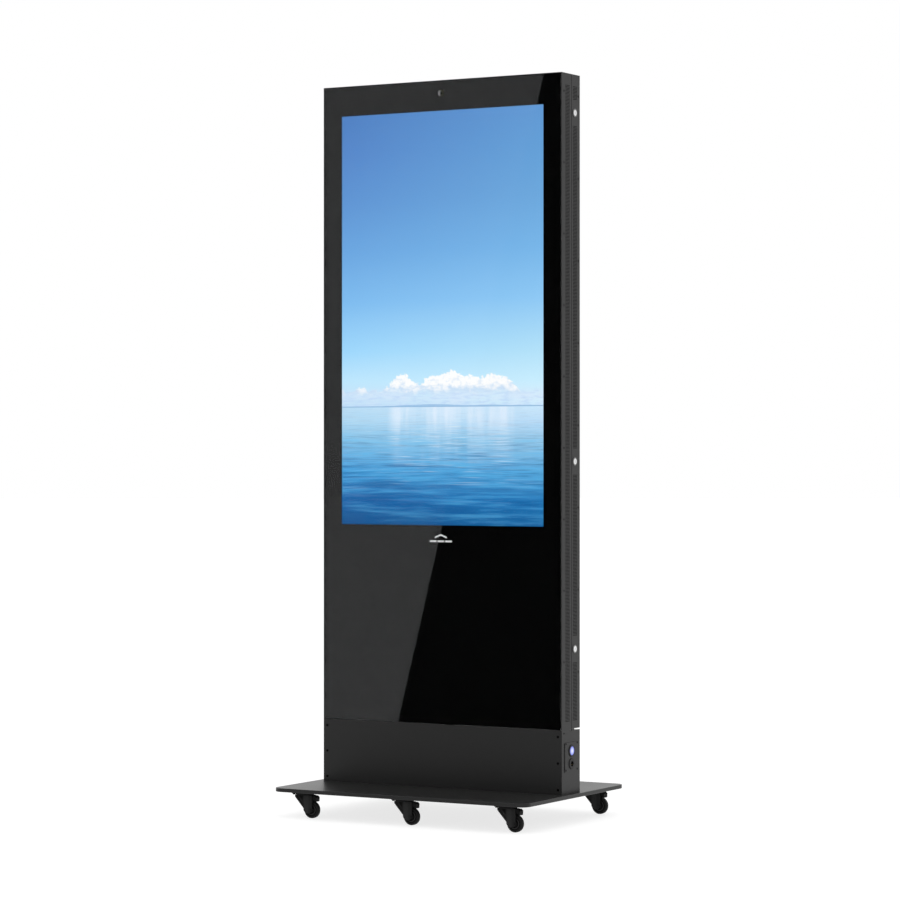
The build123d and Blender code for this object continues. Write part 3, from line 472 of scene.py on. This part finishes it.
def sky_and_clouds(tree, x, z, along, height):
    """The sky with its cloud bank and low hills, and the bank's outline, from a height above the horizon."""
    sky = across(tree, SKY, along, tree.math("DIVIDE", height, SKY_H))
    spot = tree.join(x, 0.0, z)
    # the bank's ragged outline: its table of heights, with big and small puffs added
    big = tree.noise(spot, 22.0, detail=2.0, rough=0.5)
    small = tree.noise(tree.join(x, 3.0, z), 105.0, detail=5.0, rough=0.62, twist=0.2)
    outline = tree.ramp(along, [(at, grey(top / CLOUD_SCALE)) for at, top in CLOUD_TOPS])
    top = tree.math("MULTIPLY", outline, CLOUD_SCALE)
    ragged = tree.math("ADD", top, tree.math("ADD", tree.sway(big, -0.006, 0.006),
                                             tree.fit(small, 0.25, 0.75, -0.009, 0.009)))
    inside = tree.math("SUBTRACT", ragged, height)
    foot = tree.math("ADD", height, tree.sway(big, -0.006, 0.006))
    body = tree.math("MULTIPLY", tree.fit(inside, 0.0, 0.0025, smooth=True),
                     tree.fit(foot, 0.030, 0.052, smooth=True))
    # each puff is white on top and blue-grey underneath
    lumps = tree.noise(tree.join(x, 6.0, tree.math("MULTIPLY", z, 1.5)), 42.0, detail=4.0, rough=0.55)
    shade = tree.math("ADD", tree.fit(lumps, 0.36, 0.60), tree.fit(foot, 0.045, 0.075, -0.5, 0.55))
    white = tree.mix(tree.fit(shade, 0.0, 1.0), rgb(206, 226, 247), rgb(255, 255, 255))
    haze_noise = tree.noise(tree.scaled(spot, 1.0, 1.0, 3.0), 9.0, detail=4.0)
    haze = tree.math("MULTIPLY", tree.fit(haze_noise, 0.4, 0.62, 0.1, 0.6),
                     tree.fit(height, 0.060, 0.035, smooth=True))
    sky = tree.mix(haze, sky, rgb(217, 232, 252))
    bands = tree.noise(tree.scaled(spot, 1.0, 1.0, 5.0), 30.0, detail=3.0)
    under = tree.math("MULTIPLY", tree.fit(bands, 0.47, 0.66, 0.0, 0.55),
                      tree.fit(height, 0.058, 0.044, smooth=True))
    sky = tree.mix(under, sky, rgb(184, 212, 246))
    sky = tree.mix(body, sky, white)
    hill = tree.noise(tree.join(along, 7.0, 0.0), 14.0, detail=4.0)
    tops = tree.ramp(along, [(at, grey(top)) for at, top in HILL_TOPS], smooth=True)
    ridge = tree.math("ADD", tree.math("MULTIPLY", tops, CENTIMETRE), tree.sway(hill, -0.0006, 0.0008))
    land = tree.fit(tree.math("SUBTRACT", ridge, height), -SHORELINE, SHORELINE, smooth=True)
    shore = tree.fit(height, 0.003, 0.0005)
    tint = tree.mix(shore, rgb(150, 190, 228), rgb(112, 164, 208))
    return tree.mix(tree.math("MULTIPLY", land, 0.82), sky, tint), outline


def sea_and_glints(tree, x, along, depth, outline):
    """The sea with its waves, the cloud bank's image and glints, from a depth below the horizon."""
    sea = across(tree, SEA, along, tree.math("DIVIDE", depth, SEA_H))
    # the water in perspective: waves get finer and flatter towards the horizon
    far = tree.math("ADD", depth, WATER_START)
    flat_x, flat_y = tree.math("DIVIDE", x, far), tree.math("DIVIDE", 1.0, far)

    def waves(across_scale, deep_scale, layer, detail, slant):
        """One layer of noise on the flattened water."""
        lean = tree.math("ADD", flat_y, tree.math("MULTIPLY", flat_x, slant))
        spot = tree.join(tree.math("MULTIPLY", flat_x, across_scale),
                         tree.math("MULTIPLY", lean, deep_scale), layer)
        return tree.noise(spot, 1.0, detail, 0.55, 0.25)

    swell = waves(1.1, 6.5, 0.0, 3.0, 0.05)
    chop = waves(2.5, 17.0, 5.0, 3.0, -0.06)
    wave = tree.math("ADD", tree.math("MULTIPLY", swell, 0.55), tree.math("MULTIPLY", chop, 0.45))
    grow = tree.fit(depth, 0.01, 0.16, 0.25, 1.0)
    crest = tree.math("MULTIPLY", tree.fit(wave, 0.50, 0.64), grow)
    trough = tree.math("MULTIPLY", tree.fit(wave, 0.51, 0.37), grow)
    sea = tree.mix(tree.math("MULTIPLY", trough, 0.50), sea, rgb(0, 72, 138))
    calm = tree.fit(depth, 0.08, 0.30, 0.75, 0.34)
    sea = tree.mix(tree.math("MULTIPLY", crest, calm), sea, rgb(96, 188, 236))
    # the cloud bank's image in the water: broad pale columns, broken by ripples, that fade with depth
    streak = tree.noise(tree.join(tree.math("MULTIPLY", x, 17.0), tree.math("MULTIPLY", depth, 2.0), 1.0),
                        1.0, detail=3.0, rough=0.6)
    tall = tree.fit(outline, 0.50, 0.74)
    fade = tree.fit(depth, 0.185, 0.02)
    ripple = waves(1.6, 22.0, 11.0, 2.0, 0.0)
    broken = tree.mix(tree.fit(depth, 0.03, 0.08), grey(1.0), tree.fit(ripple, 0.45, 0.58))
    mirror = tree.math("MULTIPLY", tree.math("MULTIPLY", tree.fit(streak, 0.36, 0.58), fade),
                       tree.math("MULTIPLY", tall, broken))
    sea = tree.mix(tree.math("MULTIPLY", mirror, 0.9), sea, rgb(226, 240, 255))
    # long thin glints, most of them under the clouds
    glint = waves(1.7, 25.0, 9.0, 2.0, 0.04)
    spark = tree.math("MULTIPLY", tree.fit(glint, 0.60, 0.70),
                      tree.math("MULTIPLY", tree.fit(depth, 0.30, 0.05), tree.fit(tall, 0.0, 1.0, 0.35, 1.0)))
    return tree.mix(tree.math("MULTIPLY", spark, 0.95), sea, rgb(232, 246, 255))


def lit_picture(name):
    """The display's own light: a calm sea under a blue sky, with a low bank of white cloud."""
    tree = Tree(name)
    x, _, z = tree.split(tree.place())
    along = tree.math("DIVIDE", tree.math("SUBTRACT", x, PICTURE_LEFT), PICTURE_W)
    height = tree.math("SUBTRACT", z, HORIZON)
    depth = tree.math("MULTIPLY", height, -1.0)
    sky, outline = sky_and_clouds(tree, x, z, along, height)
    sea = sea_and_glints(tree, x, along, depth, outline)
    picture = tree.mix(tree.fit(height, -SHORELINE, SHORELINE), sea, sky)
    tree.set(Base_Color=grey(0.01), Roughness=0.4, Specular_IOR_Level=0.1,
             Emission_Color=picture, Emission_Strength=1.03)
    return tree.material


def lit_button(name):
    """A translucent cap lit from behind: near white in the middle and blue-violet at its rim."""
    tree = Tree(name)
    _, out = tree.from_axis("power_button", 1, 2)
    cloud = tree.noise(tree.place(), 260.0, detail=3.0)
    glow = tree.ramp(tree.math("ADD", out, tree.sway(cloud, -0.05, 0.05)), [
        (0.0, rgb(252, 244, 252)), (0.32, rgb(210, 218, 255)), (0.74, rgb(146, 160, 244)),
        (1.0, rgb(52, 60, 178)),
    ])
    tree.set(Base_Color=rgb(40, 44, 80), Roughness=0.35, Emission_Color=glow,
             Emission_Strength=0.9, Normal=tree.bump(cloud, 0.0001, 0.2))
    return tree.material


# the camera lens, in radii: dark inside the first, satin from the second to the third, dark again after the fourth
LENS_PUPIL_R, LENS_BARREL_R, LENS_RING_R, LENS_EDGE_R = 0.42, 0.52, 0.84, 0.93


def lens_face(name):
    """A small camera lens: a satin ring with a painted highlight on its left and painted shade on its right, a black
    barrel and a dark coated pupil with one painted glare.
    """
    tree = Tree(name)
    off, out = tree.from_axis("camera_lens", 0, 2)
    lathe = tree.noise(tree.join(tree.math("MULTIPLY", out, 90.0), 0.0, 0.0), 1.0, detail=1.0)
    # painted highlight on the satin ring's left side, painted shade on its right
    lit_side = tree.fit(off[0], 0.05, -0.60, smooth=True)
    satin = tree.mix(lit_side, rgb(84, 86, 66), rgb(174, 173, 176))
    ring = tree.mix(tree.fit(lathe, 0.4, 0.6, 0.0, 0.25), satin, grey(0.05))

    def from_spot(right, up):
        """The distance from a spot on the lens, in radii."""
        return tree.length(tree.math("SUBTRACT", off[0], right), tree.math("SUBTRACT", off[1], up))

    # a painted glare in the pupil
    pupil = tree.mix(tree.fit(from_spot(0.02, 0.16), 0.10, 0.04, smooth=True), rgb(4, 4, 2), rgb(70, 76, 92))
    barrel = tree.fit(from_spot(0.10, 0.0), LENS_PUPIL_R, LENS_BARREL_R, smooth=True)
    edge = tree.fit(out, LENS_RING_R, LENS_EDGE_R, smooth=True)
    face = tree.mix(edge, tree.mix(barrel, pupil, ring), rgb(30, 31, 26))
    tree.set(Base_Color=face, Roughness=tree.fit(barrel, 0.0, 1.0, 0.12, 0.4), Specular_IOR_Level=0.08,
             Normal=tree.bump(lathe, 0.00005, 0.3))
    return tree.material


LOCK_FACE_R, LOCK_EDGE_R = 0.0079, 0.0087  # where the bright face ends and the edge with its painted dark reflection begins


def lock_rim(name):
    """Nickel-plated lock bodies: bright faces inside a turned edge darkened by a painted dark reflection."""
    tree = Tree(name)
    _, y, z = tree.split(tree.place())
    haze = tree.noise(tree.place(), 260.0, detail=3.0)
    nearest = None
    for place in LOCKS:
        low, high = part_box(f"lock_plug_{place}")
        middle = (low + high) / 2
        gap = tree.math("ABSOLUTE", tree.math("SUBTRACT", z, middle.z))
        nearest = gap if nearest is None else tree.math("MINIMUM", nearest, gap)
    out = tree.length(tree.math("SUBTRACT", y, middle.y), nearest)
    # painted dark reflection on the turned edge
    edge = tree.fit(out, LOCK_FACE_R, LOCK_EDGE_R, smooth=True)
    tone = tree.mix(edge, tree.mix(haze, grey(0.72), grey(0.84)), grey(0.18))
    tree.set(Base_Color=tone, Metallic=1.0, Roughness=tree.sway(haze, 0.1, 0.22))
    return tree.material


paint(powder_coat("cabinet_powder_coat", base=0.0058, rough=0.42),
      "side_panel_left", "side_panel_right", "top_panel", "plinth_front_cover", "plinth_rear_cover",
      "access_plate", "door_frame", "door_back_panel")
# the base plate's upward faces carry painted light from above, four times as light
paint(powder_coat("base_powder_coat", base=0.004, rough=0.35, grain=0.0013, dust=4.0), "base_plate")
paint(galvanised("galvanised_sheet", base=0.5, rough=0.34, bloom=0.014),
      "plinth_shelf", "frame_posts", "frame_crossbars", "glass_frame", "backlight_tray", "lock_keepers",
      *[f"lock_cam_{place}" for place in LOCKS])
paint(clear_glass("coated_glass"), "front_glass")
paint(black_print("ceramic_print"), "glass_border")
paint(touch_film("sensor_film"), "touch_sensor")
paint(lit_picture("display_picture"), "lcd_panel")
paint(moulded_plastic("camera_case", base=0.004, rough=0.5), "camera_body")
paint(lens_face("camera_lens_face"), "camera_lens")
paint(extruded_case("black_anodised_case", base=0.05, rough=0.35), "media_player")
paint(extruded_case("mill_finish_case", base=0.62, rough=0.3), "power_supply")
paint(powder_coat("fitting_skin", base=0.0032, rough=0.5, grain=0.0009), "button_bezel", "power_inlet")
paint(lit_button("lit_cap"), "power_button")
paint(plated("gold_flash", colour=(0.85, 0.62, 0.26, 1.0), rough=0.22), "inlet_pins")
paint(pressed_steel("black_oxide", base=0.0006, rough=0.7, shine=0.03),
      "plinth_cover_screws", "side_screws", "door_screws")
paint(galvanised("zinc_bolt_plate", base=0.55, rough=0.3, bloom=0.003), "foot_bolts")
paint(pressed_steel("blackened_bolts", base=0.0025, rough=0.55, shine=0.08), "castor_bolts")
paint(pressed_steel("hinge_coat", base=0.008, rough=0.36), "housing_hinges", "door_hinges")
paint(castor_steel("castor_coat", base=0.010, rough=0.40), "castor_plates")
for place in PLACES:
    fork, wheel = f"castor_fork_{place}", f"castor_wheel_{place}"
    paint(castor_steel(f"fork_coat_{place}", base=0.015, rough=0.40, fork=fork), fork)
    paint(wheel_nylon(f"nylon_{place}", base=0.0095, rough=0.42, wheel=wheel), wheel)
paint(pressed_steel("pedal_coat", base=0.0022, rough=0.6, shine=0.1), *[f"brake_pedal_{place}" for place in PLACES])
paint(lock_rim("lock_nickel"), "lock_bodies")
paint(plated("plug_nickel", colour=(0.78, 0.79, 0.8, 1.0), rough=0.14), *[f"lock_plug_{place}" for place in LOCKS])


# ---------------------------------------------------------------- parts that touch face to face
def draw_in(*names):
    """Shrink a thin layer by a hair, so that it doesn't share a face with the layer before it."""
    for name in names:
        gap = nodes[name].modifiers.new("hair_gap", "DISPLACE")
        gap.mid_level = 0.0
        gap.strength = -HAIR


draw_in("glass_border", "touch_sensor", "lcd_panel")


# ---------------------------------------------------------------- new meshes
def new_mesh(name, form, material):
    """Turn a form into an object of the scene."""
    mesh = bpy.data.meshes.new(name)
    form.to_mesh(mesh)
    form.free()
    mesh.materials.append(material)
    made = bpy.data.objects.new(name, mesh)
    bpy.context.scene.collection.objects.link(made)
    return made


def new_piece(name, form, material, body):
    """Turn a form into a piece that moves with one body."""
    piece = new_mesh(name, form, material)
    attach(piece, body)


def wall(form, here, there):
    """Faces between two equal loops of points."""
    for i in range(len(here)):
        j = (i + 1) % len(here)
        form.faces.new([here[i], here[j], there[j], there[i]])


# ---------------------------------------------------------------- ribs and lips on the castors
RIB_SIDES = 48  # flat sides round each rib
GROOVE_DEPTH = 0.0020
RIB_SECTION = (  # distance from the wheel's axis, and height above the groove's floor
    (0.0125, -0.0002), (0.0128, 0.0012), (0.0132, 0.0015), (0.0150, 0.0015), (0.0154, 0.0012), (0.0157, -0.0002),
)
LIP_OUTLINE = (  # distance behind the leading edge, and height from the crown
    (0.0, 0.0), (0.0, -0.0060), (0.0290, -0.0380), (0.0290, -0.0310), (0.0068, -0.0064), (0.0068, 0.0),
)
LIP_SIDES = (0.0107, 0.0122)  # distances of a lip's two flat sides from the fork's middle plane


def wheel_ribs(place):
    """A raised ring in the groove of each wheel face, as moulded nylon wheels have for stiffness."""
    wheel = f"castor_wheel_{place}"
    low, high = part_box(wheel)
    middle = (low + high) / 2
    floor = (high.y - low.y) / 2 - GROOVE_DEPTH  # from the middle of the wheel to the groove's floor
    form = bmesh.new()
    for side in (-1, 1):
        loops = []
        for step in range(RIB_SIDES):
            turn = 2 * math.pi * step / RIB_SIDES
            loops.append([form.verts.new((middle.x + out * math.cos(turn), middle.y + side * (floor + up),
                                          middle.z + out * math.sin(turn))) for out, up in RIB_SECTION])
        for here, there in zip(loops, loops[1:] + loops[:1]):
            wall(form, here, there)
    bmesh.ops.recalc_face_normals(form, faces=form.faces[:])
    new_piece(f"wheel_ribs_{place}", form, nodes[wheel].data.materials[0], wheel)


def fork_lips(place):
    """A folded lip along the slanted leading edge of each cheek, as thick as the upright strip behind it."""
    fork = f"castor_fork_{place}"
    low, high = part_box(fork)
    middle_y, crown = (low.y + high.y) / 2, high.z - KINGPIN_H
    form = bmesh.new()
    for side in (-1, 1):
        near, far = [[form.verts.new((low.x + x, middle_y + side * out, crown + z)) for x, z in LIP_OUTLINE]
                     for out in LIP_SIDES]
        form.faces.new(near)
        form.faces.new(far)
        wall(form, near, far)
    bmesh.ops.recalc_face_normals(form, faces=form.faces[:])
    new_piece(f"fork_lips_{place}", form, nodes[fork].data.materials[0], fork)


for place in PLACES:
    wheel_ribs(place)
    fork_lips(place)


# ---------------------------------------------------------------- the mark under the screen
MARK_Z = 0.813
MARK_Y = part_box("glass_border")[0].y - HAIR


def white_mark():
    """A plain printed mark on the border, in the glass: a chevron over three short dashes, whose print also glows
    faintly with painted light.
    """
    half, rise, line = 0.020, 0.008, 0.0048  # the chevron's half width, its rise and its line's height
    chevron = [(-half, 0.0), (0.0, rise), (half, 0.0), (half, line), (0.0, rise + line), (-half, line)]
    shapes = [[(x, z + 0.0005) for x, z in chevron]]
    for x in (-0.026, 0.0, 0.026):
        wide, low, high = 0.0112, -0.0105, -0.0052
        shapes.append([(x - wide, low), (x + wide, low), (x + wide, high), (x - wide, high)])
    form = bmesh.new()
    for shape in shapes:
        form.faces.new([form.verts.new((x, MARK_Y, MARK_Z + z)) for x, z in shape])
    bmesh.ops.triangulate(form, faces=form.faces[:])
    tree = Tree("white_print")
    dots = tree.noise(tree.place(), 1400.0, detail=1.0)
    # the emission is painted light: a faint glow on the white print
    tree.set(Base_Color=tree.mix(dots, grey(0.70), grey(0.82)), Roughness=0.5,
             Emission_Color=tree.mix(dots, grey(0.2), grey(0.26)), Emission_Strength=1.0)
    new_piece("printed_mark", form, tree.material, "cabinet")


white_mark()


# ---------------------------------------------------------------- studio
FLOOR_R = 60.0
GLASS_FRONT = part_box("front_glass")[0].y
SOFTBOX_AT = Vector((0.6, -1.0, 4.6))
SOFTBOX_AIM = Vector((0.0, 0.0, 1.0))
SOFTBOX_SIDE = 3.0
SOFTBOX_WATTS = 30.0
CAMERA_AT = Vector((4.6185, -7.946, 1.0715))
CAMERA_TURN = math.radians(30.16)
CAMERA_LENS_MM, CAMERA_SENSOR_MM = 125.4, 36.0
SPLIT_UPPER = Vector((0.341, GLASS_FRONT, 2.150))  # two points on the glass that the flag's mirrored edge passes
SPLIT_LOWER = Vector((-0.147, GLASS_FRONT, 0.271))
FLAG_Y = -2.5  # the flag stands this far before the object's middle
FLAG_W = 0.95
FLAG_OVER, FLAG_UNDER = 0.3, 0.005  # how far the flag runs on past those two points, as a share of the way between them


def studio_floor():
    """A plain pale disc under the object."""
    form = bmesh.new()
    bmesh.ops.create_circle(form, cap_ends=True, segments=128, radius=FLOOR_R)
    tree = Tree("pale_floor")
    tree.set(Base_Color=grey(0.3), Roughness=0.9, Specular_IOR_Level=0.1,
             Emission_Color=grey(1.0), Emission_Strength=0.76)
    new_mesh("studio_floor", form, tree.material)


def white_surround():
    """Even light from all around, as in a white tent."""
    world = bpy.data.worlds.new("white_tent")
    world.use_nodes = True
    world.node_tree.nodes["Background"].inputs["Color"].default_value = (1.0, 1.0, 1.0, 1.0)
    bpy.context.scene.world = world


def overhead_softbox():
    """A large soft light above and before the object."""
    light = bpy.data.lights.new("overhead_softbox", "AREA")
    light.shape = "RECTANGLE"
    light.size = light.size_y = SOFTBOX_SIDE
    light.energy = SOFTBOX_WATTS
    lamp = bpy.data.objects.new("overhead_softbox", light)
    lamp.location = SOFTBOX_AT
    lamp.rotation_euler = (SOFTBOX_AIM - SOFTBOX_AT).to_track_quat("-Z", "Y").to_euler()
    bpy.context.scene.collection.objects.link(lamp)


def dark_flag():
    """A black studio flag whose mirror image darkens the right-hand part of the glass.

    Its edge is where the mirrored camera sees the line between two points on the glass.
    """
    eye = Vector((CAMERA_AT.x, 2 * GLASS_FRONT - CAMERA_AT.y, CAMERA_AT.z))
    top, bottom = [eye + (point - eye) * ((FLAG_Y - eye.y) / (point.y - eye.y))
                   for point in (SPLIT_UPPER, SPLIT_LOWER)]
    run = top - bottom
    far_top, far_bottom = top + run * FLAG_OVER, bottom - run * FLAG_UNDER
    width = Vector((FLAG_W, 0.0, 0.0))
    form = bmesh.new()
    form.faces.new([form.verts.new(corner) for corner in (far_bottom, far_bottom + width, far_top + width, far_top)])
    tree = Tree("black_cloth")
    tree.set(Base_Color=grey(0.03), Roughness=1.0, Specular_IOR_Level=0.0)
    flag = new_mesh("dark_flag", form, tree.material)
    flag.visible_camera = False
    flag.visible_shadow = False
    flag.visible_diffuse = False


def camera():
    """A level camera to the front right of the object."""
    data = bpy.data.cameras.new("camera")
    data.sensor_width = CAMERA_SENSOR_MM
    data.lens = CAMERA_LENS_MM
    view = bpy.data.objects.new("camera", data)
    view.location = CAMERA_AT
    view.rotation_euler = (math.radians(90.0), 0.0, CAMERA_TURN)
    bpy.context.scene.collection.objects.link(view)
    bpy.context.scene.camera = view


studio_floor()
white_surround()
overhead_softbox()
dark_flag()
camera()
bpy.context.scene.view_settings.view_transform = "Standard"
